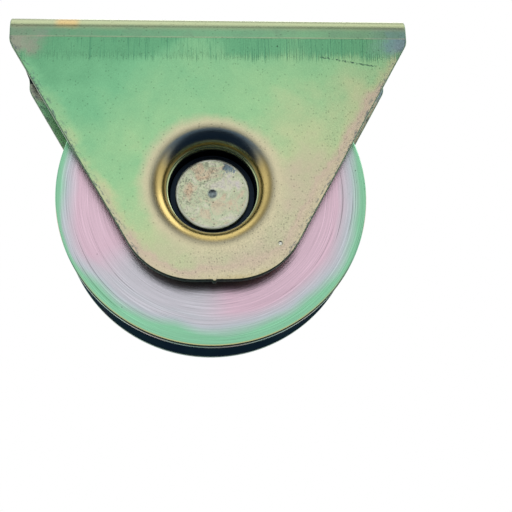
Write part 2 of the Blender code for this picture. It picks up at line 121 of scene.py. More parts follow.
class GateWheelSizes(bpy.types.PropertyGroup):
    """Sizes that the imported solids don't give by their boxes"""

    sheet: length_property("Sheet", "Thickness of the pressed sheet", 3.0)
    edge_radius: length_property("Edge radius", "Rounding of the sheared edges", 0.4)
    front_bend: length_property("Front bend", "Outer radius of the bend over the front plate", 5.0)
    rear_bend: length_property("Rear bend", "Outer radius of the bend over the rear plate", 4.5)
    slant_start: length_property("Slant start", "Depth under the base where the plates start to narrow", 9.95)
    slant_angle: angle_property("Slant angle", "Angle of the plates' slanted edges", 60.4)
    corner_radius: length_property("Top corner", "Rounding where a slanted edge starts", 5.0)
    bottom_radius: length_property("Bottom radius", "Rounding of the plates' lower corners", 23.7)
    nib_width: length_property("Nib width", "Width of the shear nib under each plate", 1.6)
    nib_height: length_property("Nib height", "Height of the shear nib under each plate", 0.5)
    slot_width: length_property("Slot width", "Width of the base's slots", 11.5)
    slot_length: length_property("Slot length", "Length of the base's slots", 14.0)
    slot_offset: length_property("Slot offset", "Distance of each slot from the middle", 52.5)
    dish_radius: length_property("Dish radius", "Radius where the dish meets the flat plate", 21.95)
    dish_rounding: length_property("Dish rounding", "Radius of the plate as it leans into the dish", 11.8)
    dish_lean: angle_property("Dish lean", "Lean of the plate where the tighter throat starts", 20.0)
    seat_radius: length_property("Seat radius", "Radius of the mouth of the axle's seat", 14.3)
    seat_rim: length_property("Seat rim", "Depth of the seat's mouth", 6.05)
    seat_land: length_property("Seat land", "Width of the pierced edge round the seat's mouth", 0.3)
    seat_depth: length_property("Seat depth", "Depth of the seat's floor", 11.65)
    seat_wall: length_property("Seat wall", "Thickness of the drawn wall of the seat", 2.5)
    seat_floor: length_property("Seat floor", "Thickness of the seat's floor", 2.4)
    seat_hole: length_property("Seat hole", "Radius of the hole in the seat's floor", 7.2)
    groove_width: length_property("Groove width", "Width of the V groove at the rim", 18.2)
    groove_rounding: length_property("Groove rounding", "Radius at the bottom of the V groove", 1.4)
    turning_pitch: length_property("Turning pitch", "Distance between the lathe's marks on the wheel", 0.45)
    rim_rounding: length_property("Rim rounding", "Rounding of the wheel's outer corners", 0.45)
    hub_shoulder: length_property("Hub shoulder", "Radius of the opening before the bearing", 18.0)
    hub_gap: length_property("Hub gap", "Play between the hub and what it holds", 0.15)
    snap_groove: length_property("Snap groove", "Radius of the groove for the snap ring", 21.2)
    snap_bore: length_property("Snap ring bore", "Inner radius of the snap ring", 17.7)
    snap_opening: angle_property("Snap opening", "Opening of the snap ring", 24.0)
    head_thickness: length_property("Head thickness", "Thickness of the axle's riveted heads", 1.6)
    head_rounding: length_property("Head rounding", "Rounding of the heads' outer edge", 0.45)
    mark_radius: length_property("Mark radius", "Radius of the centre mark in each head", 1.4)
    mark_depth: length_property("Mark depth", "Depth of the centre mark", 0.8)
    axle_neck: length_property("Axle neck", "Radius of the axle in the plates", 7.0)
    axle_journal: length_property("Axle journal", "Radius of the axle in the bearing", 8.35)
    bearing_bore: length_property("Bearing bore", "Radius of the inner ring's bore", 8.5)
    outer_shoulder: length_property("Outer shoulder", "Inner radius of the outer ring", 16.5)
    race_half: length_property("Race half width", "Half the width of the ball races", 2.9)
    race_rounding: length_property("Race rounding", "Radius at the bottom of the races", 3.0)
    race_gap: length_property("Race gap", "Depth of each race's corner past the balls", 0.2)
    shield_bore: length_property("Shield bore", "Inner radius of the shields", 12.6)
    shield_seat: length_property("Shield seat", "Radius of the seats for the shields", 17.2)
    shield_inset: length_property("Shield inset", "Depth of the seats for the shields", 1.5)
    cage_bore: length_property("Cage bore", "Inner radius of the ribbon cage", 12.9)
    cage_radius: length_property("Cage radius", "Outer radius of the ribbon cage", 15.6)
    ribbon_thickness: length_property("Ribbon thickness", "Thickness of the cage's ribbons", 0.6)
    ribbon_flat: length_property("Ribbon flat", "Height of the ribbons' middle between the balls", 0.45)
    pocket_radius: length_property("Pocket radius", "Radius of the ribbons' arches over the balls", 3.85)
    rivet_head: length_property("Rivet head", "Radius of the cage rivets' heads", 1.0)
    rivet_shank: length_property("Rivet shank", "Radius of the cage rivets' shanks", 0.55)
    bead_radius: length_property("Bead radius", "Radius of the weld beads", 1.15)
    bead_pitch: length_property("Bead pitch", "Distance between the ripples of the weld beads", 1.3)
    round_steps: IntProperty(name="Steps", description="Faces round each turned piece", default=160, min=16)


class GateWheelColours(bpy.types.PropertyGroup):
    """Colours of the chromate film, from thin to thick, and of the bare metals"""

    gold: colour_property("Gold", "Film in the drawn dish", "#CBB576")
    straw: colour_property("Straw", "Thin film along the bend", "#B6BB96")
    sand: colour_property("Sand", "Film where the plates roll into the dish", "#DCD2B0")
    beige: colour_property("Beige", "Film along edges and towards the lower right", "#D8C6B0")
    lime: colour_property("Lime", "Film between beige and green", "#CAD8A8")
    light_green: colour_property("Light green", "Film over most of the plates", "#A8D8A2")
    green: colour_property("Green", "Thicker film on the upper left", "#88CC9B")
    teal: colour_property("Teal", "Film drawn thin by the press under the bend", "#74B98C")
    slate: colour_property("Slate", "Thickest film, in the corners", "#86A3B4")
    mauve: colour_property("Mauve", "Greyed film in the upper left corner", "#B0AC9E")
    pink: colour_property("Pink", "Film on the turned faces of the wheel", "#EAC9DA")
    silver: colour_property("Silver", "Film between pink and green on the wheel", "#D0D7DE")
    rim_green: colour_property("Rim green", "Film near the wheel's rim", "#9ADCB4")
    rim_straw: colour_property("Rim straw", "Film on the wheel's very edge", "#D8D49A")
    cream: colour_property("Cream", "Film on the axle's riveted head", "#F4F4D8")


def sizes():
    return bpy.context.scene.gate_wheel_sizes


def colours():
    return bpy.context.scene.gate_wheel_colours


# Profiles


def fillet(corners, steps=6):
    """Points of a line through (x, y, radius) corners, each rounded by its own radius."""
    points = [Vector(corners[0][:2])]
    for before, corner, after in zip(corners, corners[1:], corners[2:]):
        here = Vector(corner[:2])
        if corner[2] <= 0:
            points.append(here)
            continue
        back = (Vector(before[:2]) - here).normalized()
        on = (Vector(after[:2]) - here).normalized()
        half = back.angle(on) / 2
        centre = here + (back + on).normalized() * corner[2] / math.sin(half)
        start = here + back * corner[2] / math.tan(half) - centre
        sweep = start.angle_signed(here + on * corner[2] / math.tan(half) - centre)
        for step in range(steps + 1):
            turned = start.copy()
            turned.rotate(Matrix.Rotation(-sweep * step / steps, 2))
            points.append(centre + turned)
    points.append(Vector(corners[-1][:2]))
    return points


def plate_outline(top):
    """A side plate below its bend line: slanted sides, round lower corners and a shear nib."""
    s = sizes()
    bottom = BRACKET_LOW.z + s.nib_height
    foot = HALF_LENGTH - (-s.slant_start - bottom) / math.tan(s.slant_angle)
    side = fillet([
        (HALF_LENGTH, top, 0),
        (HALF_LENGTH, -s.slant_start, s.corner_radius),
        (foot, bottom, s.bottom_radius),
        (s.nib_width / 2, bottom, 0),
        (s.nib_width / 4, bottom - s.nib_height, 0),
    ], steps=14)
    return side + [Vector((-point.x, point.y)) for point in reversed(side)]


def slot_outline(centre_x):
    s = sizes()
    radius = s.slot_width / 2
    shift = (s.slot_length - s.slot_width) / 2
    points = []
    steps = 16
    for side, start in ((1, -math.pi / 2), (-1, math.pi / 2)):
        for step in range(steps + 1):
            angle = start + math.pi * step / steps
            points.append((centre_x + side * shift + radius * math.cos(angle), radius * math.sin(angle)))
    return points


def rolled(centre, radius, first, last, steps=9):
    """Points of a rolled face from one lean to another, lean being its angle to the flat plate."""
    leans = [first + (last - first) * step / steps for step in range(steps + 1)]
    return [centre - radius * Vector((math.sin(lean), math.cos(lean))) for lean in leans]


def dish_profiles():
    """Outer and inner faces of the dished seat as (radius, depth) points, ring by ring."""
    s = sizes()
    steepest = math.radians(86.0)
    mouth = s.seat_radius + s.seat_land
    centre = Vector((s.dish_radius, s.dish_rounding))
    outer = rolled(centre, s.dish_rounding, 0, s.dish_lean)
    inner = rolled(centre, s.dish_rounding - s.sheet, 0, s.dish_lean)
    throat = (outer[-1].x - mouth) / (math.sin(steepest) - math.sin(s.dish_lean))
    centre = outer[-1] + throat * Vector((math.sin(s.dish_lean), math.cos(s.dish_lean)))
    outer += rolled(centre, throat, s.dish_lean, steepest)[1:]
    inner += rolled(centre, throat - s.sheet, s.dish_lean, steepest)[1:]

    # The pierced edge, then the drafted wall and the floor of the seat
    draft = 0.4 * MM
    floor = s.seat_depth + s.seat_floor
    foot = s.seat_radius + s.seat_wall - draft
    outer += fillet([
        (mouth, s.seat_rim, 0), (s.seat_radius, s.seat_rim + s.seat_land / 2, 0.1 * MM),
        (s.seat_radius - draft, s.seat_depth, 0.5 * MM), (s.seat_hole, s.seat_depth, 0),
    ])
    inner += fillet([
        (foot + 1.0 * MM, s.seat_rim + 1.0 * MM, 0), (foot + 0.6 * MM, s.seat_rim + 3.0 * MM, 0.5 * MM),
        (foot, floor, 1.7 * MM), (s.seat_hole, floor, 0),
    ])
    return outer, inner


# Pressed sheet


class Shell:
    """One face of a sheet, where each point knows the point across the sheet."""

    def __init__(self):
        self.bm = bmesh.new()
        self.cut = self.bm.verts.layers.float.new("cut")
        self.across = {}

    def point(self, outer, inner):
        vert = self.bm.verts.new(outer)
        self.across[vert] = Vector(inner)
        return vert

    def fill(self, loops, normal):
        edges = []
        for verts in loops:
            for pair in zip(verts, verts[1:] + verts[:1]):
                edges.append(self.bm.edges.get(pair) or self.bm.edges.new(pair))
        bmesh.ops.triangle_fill(self.bm, edges=edges, use_beauty=True, normal=normal)

    def strip(self, first, second, wrap=False):
        count = len(first) if wrap else len(first) - 1
        for step in range(count):
            after = (step + 1) % len(first)
            self.bm.faces.new((first[step], first[after], second[after], second[step]))

    def inward(self, borders):
        """Direction into the sheet from each border point, mitred at corners."""
        pulls = {}
        for edge in borders:
            face = edge.link_faces[0]
            first, second = edge.verts
            pull = (second.co - first.co).cross(face.normal).normalized()
            if pull.dot(face.calc_center_median() - first.co) < 0:
                pull.negate()
            for vert in edge.verts:
                pulls.setdefault(vert, []).append(pull)
        return {vert: (a + b) / (1 + a.dot(b)) for vert, (a, b) in pulls.items()}

    def close(self, radius, steps=3):
        """Add the face across the sheet, and rounded sheared edges round every border."""
        bm = self.bm
        bm.normal_update()
        faces = list(bm.faces)
        borders = [edge for edge in bm.edges if len(edge.link_faces) == 1]
        ends = [tuple(edge.verts) for edge in borders]
        mitres = self.inward(borders)
        twins = {vert: bm.verts.new(place) for vert, place in self.across.items()}
        for face in faces:
            bm.faces.new([twins[vert] for vert in reversed(face.verts)])
        quarter = [math.pi / 2 * step / steps for step in range(steps + 1)]
        rings = {}
        for vert, mitre in mitres.items():
            origin = vert.co.copy()
            through = self.across[vert] - origin
            thick = through.length
            section = [(radius * (1 - math.sin(a)), radius * (1 - math.cos(a))) for a in quarter]
            section += [(radius * (1 - math.cos(a)), thick - radius * (1 - math.sin(a))) for a in quarter]
            ring = [vert]
            for inset, depth in section[1:-1]:
                made = bm.verts.new(origin + mitre * inset + through.normalized() * depth)
                made[self.cut] = 1.0
                ring.append(made)
            ring.append(twins[vert])
            vert.co += mitre * radius
            twins[vert].co += mitre * radius
            rings[vert] = ring
        for first, second in ends:
            for step in range(len(rings[first]) - 1):
                a, b = rings[first], rings[second]
                bm.faces.new((a[step], b[step], b[step + 1], a[step + 1]))
        return bm


def bent_plate(inward, face_y, top, bend, leaf_end, slots):
    """A side plate with its dish, the bend over it, and the leaf that runs across the bracket."""
    s = sizes()
    shell = Shell()

    def plate_point(x, z, back_x, back_z, depth, back_depth):
        outer = (x, face_y + inward * depth, z)
        return shell.point(outer, (back_x, face_y + inward * back_depth, back_z))

    outline = [plate_point(x, z, x, z, 0, s.sheet) for x, z in plate_outline(top - bend)]
    steps = s.round_steps
    rings = []
    for (radius, depth), (back_radius, back_depth) in zip(*dish_profiles()):
        ring = []
        for step in range(steps):
            angle = math.tau * step / steps
            cos, sin = math.cos(angle), math.sin(angle)
            ring.append(plate_point(
                radius * cos, AXLE_Z + radius * sin, back_radius * cos, AXLE_Z + back_radius * sin,
                depth, back_depth,
            ))
        rings.append(ring)
    shell.fill([outline, rings[0]], (0, -inward, 0))
    for first, second in zip(rings, rings[1:]):
        shell.strip(first, second, wrap=True)

    line = [outline[0], outline[-1]]
    bend_steps = 12
    for step in range(1, bend_steps + 1):
        angle = math.pi / 2 * step / bend_steps
        ends = []
        for x in (HALF_LENGTH, -HALF_LENGTH):
            places = []
            for radius in (bend, bend - s.sheet):
                y = face_y + inward * (bend - radius * math.cos(angle))
                places.append((x, y, top - bend + radius * math.sin(angle)))
            ends.append(shell.point(*places))
        shell.strip(line, ends)
        line = ends

    far = [shell.point((x, leaf_end, top), (x, leaf_end, top - s.sheet)) for x in (-HALF_LENGTH, HALF_LENGTH)]
    loops = [line + far]
    for centre_x in slots:
        loops.append([shell.point((x, y, top), (x, y, top - s.sheet)) for x, y in slot_outline(centre_x)])
    shell.fill(loops, (0, 0, 1))
    return shell.close(s.edge_radius)


# Objects


def mesh_object(name, bm, material):
    """Object at the origin from a bmesh, with closed seams and faces outwards, smooth but for corners."""
    bmesh.ops.remove_doubles(bm, verts=bm.verts, dist=1e-7)
    loose = [edge for edge in bm.edges if not edge.link_faces]
    bmesh.ops.delete(bm, geom=loose, context="EDGES")
    bmesh.ops.recalc_face_normals(bm, faces=bm.faces)
    mesh = bpy.data.meshes.new(name)
    bm.to_mesh(mesh)
    bm.free()
    mesh.shade_smooth()
    mesh.set_sharp_from_angle(angle=math.radians(35.0))
    mesh.materials.append(material)
    obj = bpy.data.objects.new(name, mesh)
    bpy.context.scene.collection.objects.link(obj)
    weigh = obj.modifiers.new("flat faces stay flat", "WEIGHTED_NORMAL")
    weigh.keep_sharp = True
    return obj


def join_rings(bm, rings):
    """Faces between each closed ring of points and the next."""
    for first, second in zip(rings, rings[1:]):
        for step in range(len(first)):
            after = (step + 1) % len(first)
            bm.faces.new((first[step], first[after], second[after], second[step]))


def settle(obj):
    """Turn an object's modifiers into a plain mesh."""
    graph = bpy.context.evaluated_depsgraph_get()
    graph.update()
    old = obj.data
    obj.data = bpy.data.meshes.new_from_object(obj.evaluated_get(graph), depsgraph=graph)
    obj.modifiers.clear()
    bpy.data.meshes.remove(old)
    return obj


def hand_over(obj, body, slot, *nodes):
    """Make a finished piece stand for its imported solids."""
    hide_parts(*nodes)
    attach(obj, body)


# Node trees


class Wire:
    """An output of a node. Plain arithmetic on it adds math nodes to its tree."""

    def __init__(self, socket):
        self.socket = socket
        self.tree = socket.id_data

    def math(self, operation, *others):
        """Result of a named operation of the math node on this value and others."""
        return add_node(self.tree, "ShaderNodeMath", dict(enumerate((self, *others))), operation=operation)

    def __add__(self, other):
        return self.math("ADD", other)

    def __sub__(self, other):
        return self.math("SUBTRACT", other)

    def __mul__(self, other):
        return self.math("MULTIPLY", other)

    def __truediv__(self, other):
        return self.math("DIVIDE", other)

    def __rsub__(self, other):
        return self.math("MULTIPLY_ADD", -1.0, other)


def add_node(tree, kind, inputs=None, out=0, stops=None, **settings):
    """Add a node, set or link its inputs, and return one of its outputs, "all" of them or None."""
    made = tree.nodes.new(kind)
    for name, value in settings.items():
        setattr(made, name, value)
    for key, value in (inputs or {}).items():
        if isinstance(value, Wire):
            tree.links.new(value.socket, made.inputs[key])
        else:
            made.inputs[key].default_value = value
    if stops:
        elements = made.color_ramp.elements
        for index, (position, colour) in enumerate(stops):
            element = elements[index] if index < 2 else elements.new(position)
            element.position = position
            element.color = (*colour, 1.0)
    if out == "all":
        return [Wire(output) for output in made.outputs]
    return None if out is None else Wire(made.outputs[out])


def geometry_tree(name, **labels):
    """Geometry node tree with named inputs, and the wires that leave its group input node."""
    tree = bpy.data.node_groups.new(name, "GeometryNodeTree")
    tree.interface.new_socket("Geometry", in_out="INPUT", socket_type="NodeSocketGeometry")
    for label, kind in (*labels.items(), ("material", "Material")):
        tree.interface.new_socket(label.replace("_", " "), in_out="INPUT", socket_type="NodeSocket" + kind)
    tree.interface.new_socket("Geometry", in_out="OUTPUT", socket_type="NodeSocketGeometry")
    wires = add_node(tree, "NodeGroupInput", out="all")
    return tree, {wire.socket.name: wire for wire in wires}


def end_tree(tree, geometry, material):
    """Close a geometry tree with smooth shading, realised instances and the material."""
    smooth = add_node(tree, "GeometryNodeSetShadeSmooth", {0: geometry})
    real = add_node(tree, "GeometryNodeRealizeInstances", {0: smooth})
    finished = add_node(tree, "GeometryNodeSetMaterial", {0: real, "Material": material})
    add_node(tree, "NodeGroupOutput", {0: finished}, out=None)
    return tree


def run_tree(name, mesh, maker, values):
    """Run a geometry tree on a mesh with named input values, and keep the plain mesh it makes."""
    obj = bpy.data.objects.new(name, mesh)
    bpy.context.scene.collection.objects.link(obj)
    tree = bpy.data.node_groups.get(maker.__name__) or maker(maker.__name__)
    modifier = obj.modifiers.new(tree.name, "NODES")
    modifier.node_group = tree
    sockets = {item.name: item.identifier for item in tree.interface.items_tree if item.in_out == "INPUT"}
    for label, value in values.items():
        modifier[sockets[label]] = value
    settle(obj)
    bm = bmesh.new()
    bm.from_mesh(obj.data)
    bpy.data.objects.remove(obj)
    return settle(mesh_object(name, bm, values["material"]))


def turned_profile(name):
    """Turns a closed profile of (radius, axial) points about the axle, with its corners rounded."""
    tree, given = geometry_tree(name, steps="Int", rounding_steps="Int", axle_height="Float")
    curve = add_node(tree, "GeometryNodeMeshToCurve", {"Mesh": given["Geometry"]})
    rounding = add_node(tree, "GeometryNodeInputNamedAttribute", {"Name": "rounding"}, data_type="FLOAT")
    rounded = add_node(tree, "GeometryNodeFilletCurve", {
        "Curve": curve, "Count": given["rounding steps"], "Radius": rounding, "Limit Radius": True,
    }, mode="POLY")

    # A grid with a column for each point of the profile and a row for each step round the axle
    count = add_node(tree, "GeometryNodeAttributeDomainSize", {0: rounded}, component="CURVE")
    rows = given["steps"] + 1.0
    grid = add_node(tree, "GeometryNodeMeshGrid", {"Vertices X": count + 1.0, "Vertices Y": rows})
    index = add_node(tree, "GeometryNodeInputIndex")
    column = (index / rows).math("FLOOR")
    angle = index.math("MODULO", rows) / given["steps"] * math.tau
    sample = add_node(tree, "GeometryNodeSampleIndex", {
        "Geometry": rounded, "Value": add_node(tree, "GeometryNodeInputPosition"),
        "Index": column.math("MODULO", count),
    }, data_type="FLOAT_VECTOR", domain="POINT")
    radius, axial, _ = add_node(tree, "ShaderNodeSeparateXYZ", {0: sample}, out="all")
    position = add_node(tree, "ShaderNodeCombineXYZ", {
        0: radius * angle.math("COSINE"), 1: axial, 2: radius * angle.math("SINE") + given["axle height"],
    })
    turned = add_node(tree, "GeometryNodeSetPosition", {"Geometry": grid, "Position": position})
    merged = add_node(tree, "GeometryNodeMergeByDistance", {"Geometry": turned, "Distance": SEAM})
    return end_tree(tree, merged, given["material"])


def ring_of_pieces(name):
    """Repeats a piece round the axle, each copy turned to face outwards, and closes their seams."""
    tree, given = geometry_tree(name, count="Int", radius="Float", phase="Float", axle_height="Float")
    points = add_node(tree, "GeometryNodeMeshLine", {"Count": given["count"], "Offset": (0, 0, 0)})
    index = add_node(tree, "GeometryNodeInputIndex")
    angle = index / given["count"] * math.tau + given["phase"]
    place = add_node(tree, "ShaderNodeCombineXYZ", {
        0: given["radius"] * angle.math("COSINE"),
        2: given["radius"] * angle.math("SINE") + given["axle height"],
    })
    placed = add_node(tree, "GeometryNodeSetPosition", {"Geometry": points, "Position": place})
    spin = add_node(tree, "ShaderNodeCombineXYZ", {1: angle * -1.0})
    copies = add_node(tree, "GeometryNodeInstanceOnPoints", {
        "Points": placed, "Instance": given["Geometry"], "Rotation": spin,
    })
    real = add_node(tree, "GeometryNodeRealizeInstances", {0: copies})
    merged = add_node(tree, "GeometryNodeMergeByDistance", {"Geometry": real, "Distance": SEAM})
    return end_tree(tree, merged, given["material"])


def rippled_bead(name):
    """Sweeps a weld bead along a seam, stepped by the ripples that each dab of weld leaves."""
    tree, given = geometry_tree(name, radius="Float", ripple_pitch="Float", ripple_share="Float")
    path = add_node(tree, "GeometryNodeMeshToCurve", {"Mesh": given["Geometry"]})
    fine = add_node(tree, "GeometryNodeResampleCurve", {"Curve": path, "Count": 220})
    share, distance, _ = add_node(tree, "GeometryNodeSplineParameter", out="all")
    ripple = (distance / given["ripple pitch"]).math("FRACT").math("POWER", 2.0)
    body = 1.0 - ripple * given["ripple share"]
    fall = (share * 2.0 - 1.0).math("POWER", 10.0)
    taper = (1.02 - fall).math("POWER", 0.5)
    section = add_node(tree, "GeometryNodeCurvePrimitiveCircle", {"Resolution": 20, "Radius": 1.0})
    swept = add_node(tree, "GeometryNodeCurveToMesh", {
        "Curve": fine, "Profile Curve": section, "Scale": body * taper * given["radius"], "Fill Caps": True,
    })
    return end_tree(tree, swept, given["material"])


def turned_piece(name, corners, material):
    """Turned piece from a closed profile of (radius, axial, rounding) corners."""
    mesh = bpy.data.meshes.new(name)
    count = len(corners)
    edges = [(index, (index + 1) % count) for index in range(count)]
    mesh.from_pydata([(radius, axial, 0) for radius, axial, _ in corners], edges, [])
    rounding = mesh.attributes.new("rounding", "FLOAT", "POINT")
    rounding.data.foreach_set("value", [corner[2] for corner in corners])
    return run_tree(name, mesh, turned_profile, {
        "steps": sizes().round_steps, "rounding steps": 5, "axle height": AXLE_Z, "material": material,
    })


def ring_of(name, bm, radius, phase, material):
    """A piece repeated round the axle, once for each ball, as one object."""
    mesh = bpy.data.meshes.new(name)
    bm.to_mesh(mesh)
    bm.free()
    return run_tree(name, mesh, ring_of_pieces, {
        "count": BALL_COUNT, "radius": radius, "phase": phase, "axle height": AXLE_Z, "material": material,
    })


# Finishes


def new_material(name):
    """Empty material, its tree, and the object's own position in millimetres."""
    material = bpy.data.materials.new(name)
    material.use_nodes = True
    tree = material.node_tree
    tree.nodes.clear()
    place = add_node(tree, "ShaderNodeTexCoord", out="Object")
    scaled = add_node(tree, "ShaderNodeVectorMath", {0: place, 1: (1 / MM,) * 3}, operation="MULTIPLY")
    return material, tree, scaled


def finish_material(tree, colour, roughness, normal):
    """End a tree in a metal shader. Roughness is a wire or a number."""
    shader = add_node(tree, "ShaderNodeBsdfPrincipled", {
        "Base Color": colour, "Roughness": roughness, "Metallic": 1.0, "Normal": normal,
    })
    add_node(tree, "ShaderNodeOutputMaterial", {"Surface": shader}, out=None)


def tinted(amount, colour, tint):
    """Blend a colour towards another one by an amount."""
    if not isinstance(tint, Wire):
        tint = (*tint, 1.0)
    return add_node(amount.tree, "ShaderNodeMix", {0: amount, 6: colour, 7: tint}, out=2, data_type="RGBA")


def shaded(colour, shade):
    """Multiply a colour by a brightness."""
    grey = add_node(shade.tree, "ShaderNodeCombineXYZ", {0: shade, 1: shade, 2: shade})
    return add_node(shade.tree, "ShaderNodeMix", {0: 1.0, 6: colour, 7: grey}, out=2, data_type="RGBA",
                    blend_type="MULTIPLY")


def fade(value, low, high, start=0.0, end=1.0):
    """Value eased from start to end as it runs from low to high."""
    return add_node(value.tree, "ShaderNodeMapRange", {
        "Value": value, "From Min": low, "From Max": high, "To Min": start, "To Max": end,
    }, interpolation_type="SMOOTHSTEP")


def clouded(place, per_mm, detail=2.0, roughness=0.5, distortion=0.0):
    """Cloudy pattern between 0 and 1, with so many clouds to a millimetre."""
    return add_node(place.tree, "ShaderNodeTexNoise", {
        "Vector": place, "Scale": per_mm, "Detail": detail, "Roughness": roughness, "Distortion": distortion,
    })


def towards(vector, direction):
    """How far a vector runs along a direction."""
    return add_node(vector.tree, "ShaderNodeVectorMath", {
        0: vector, 1: tuple(direction),
    }, out=1, operation="DOT_PRODUCT")


def about_axle(place):
    """Offset across the axle from its centre line, its length, and its direction."""
    tree = place.tree
    x, _, z = add_node(tree, "ShaderNodeSeparateXYZ", {0: place}, out="all")
    offset = add_node(tree, "ShaderNodeCombineXYZ", {0: x, 1: z - AXLE_Z / MM})
    distance = add_node(tree, "ShaderNodeVectorMath", {0: offset}, out=1, operation="LENGTH")
    spoke = add_node(tree, "ShaderNodeVectorMath", {0: offset}, operation="NORMALIZE")
    return offset, distance, spoke


def pitted(place, pitch_mm, pit_mm, share, crowd=None):
    """Sparse round pits: 1 inside each, from a cell grid of which only a share holds a pit."""
    cells = add_node(place.tree, "ShaderNodeTexVoronoi", {
        "Vector": place, "Scale": 1.0 / pitch_mm,
    }, out="all")
    draw = add_node(place.tree, "ShaderNodeSeparateColor", {0: cells[1]})
    if crowd is not None:
        draw = draw - crowd
    size = pit_mm / pitch_mm / 2
    return fade(cells[0], size * 1.4, size * 0.7) * draw.math("LESS_THAN", share)


def dotted(place, start, end, width, per_mm):
    """A broken scratch between two (x, z) places: 1 in its dots, which crowd round its line."""
    start = Vector(start)
    run = Vector(end) - start
    along = run.normalized()
    across = Vector((-along.y, along.x))
    share = towards(place, (along.x, 0.0, along.y)) - along.dot(start)
    off = (towards(place, (across.x, 0.0, across.y)) - across.dot(start)).math("ABSOLUTE")
    dots = clouded(place, per_mm, 3.0, 0.6)
    spread = off - dots * (width * 4.0)
    inside = fade(share, -1.0, 1.0) * fade(share, run.length + 1.0, run.length - 1.0)
    return inside * fade(spread, -width * 0.9, -width * 1.5) * fade(dots, 0.46, 0.56)


def press_marks(place, colour, clouds, mottle, corner):
    """Marks of the press and of use on the front plate: the colour with them, and their relief."""
    c = colours()
    tree = place.tree
    x, y, z = add_node(tree, "ShaderNodeSeparateXYZ", {0: place}, out="all")

    # A tool mark under the bend: a thin pale line, then a teal band scored upright by the press
    lines = add_node(tree, "ShaderNodeVectorMath", {0: place, 1: (2.6, 1.0, 0.07)}, operation="MULTIPLY")
    score = clouded(lines, 1.0, 3.0, 0.6)
    band = fade(z + score * 9.0, -12.0, -8.6) * fade(z, -8.1, -8.5) * (1.0 - corner)
    colour = tinted(band * fade(clouds, 0.38, 0.56, 0.15, 0.95), colour, c.teal)
    colour = tinted(band * fade(score, 0.54, 0.66, 0.0, 0.5), colour, to_linear("#4B9070"))
    above = fade(z, -8.5, -7.8) * fade(z, -3.6, -5.0) * fade(mottle, 0.25, 0.7, 0.9, 0.4)
    colour = tinted(above, colour, to_linear("#84AC8C"))
    line = fade(z, -8.5, -8.25) * fade(z, -7.75, -8.0) * fade(mottle, 0.3, 0.6, 0.08, 0.3)
    colour = tinted(line, colour, c.beige)

    # Straw along the bend, with an orange stain near its left end
    crown = fade(z + mottle * 1.6, -5.4, -2.6) * fade(y - BRACKET_LOW.y / MM, 7.0, 3.0)
    colour = tinted(crown * 0.9, colour, c.straw)
    stain = crown * fade((x + 46.5).math("ABSOLUTE"), 5.0, 2.0, 0.0, 0.6)
    colour = tinted(stain, colour, to_linear("#E2B878"))

    # A broken scratch at the upper right, and a knock and a small dent at the lower right, with a painted
    # glint in the dent
    scratch = dotted(place, (36.0, -15.0), (54.0, -18.2), 0.28, 1.7)
    knock = dotted(place, (29.0, -77.5), (23.5, -82.8), 0.35, 1.3)
    colour = tinted(scratch.math("MAXIMUM", knock) * 0.85, colour, to_linear("#234B4A"))
    away = add_node(tree, "ShaderNodeVectorMath", {
        0: place, 1: (20.5, BRACKET_LOW.y / MM, -78.0),
    }, out=1, operation="DISTANCE")
    dent_and_glint = fade(away, 0.8, 0.35)
    # Near white in the dent is a painted highlight: its glint
    colour = tinted(dent_and_glint * 0.7, colour, to_linear("#F4F6F2"))
    return colour, score * band - dent_and_glint * 3.0


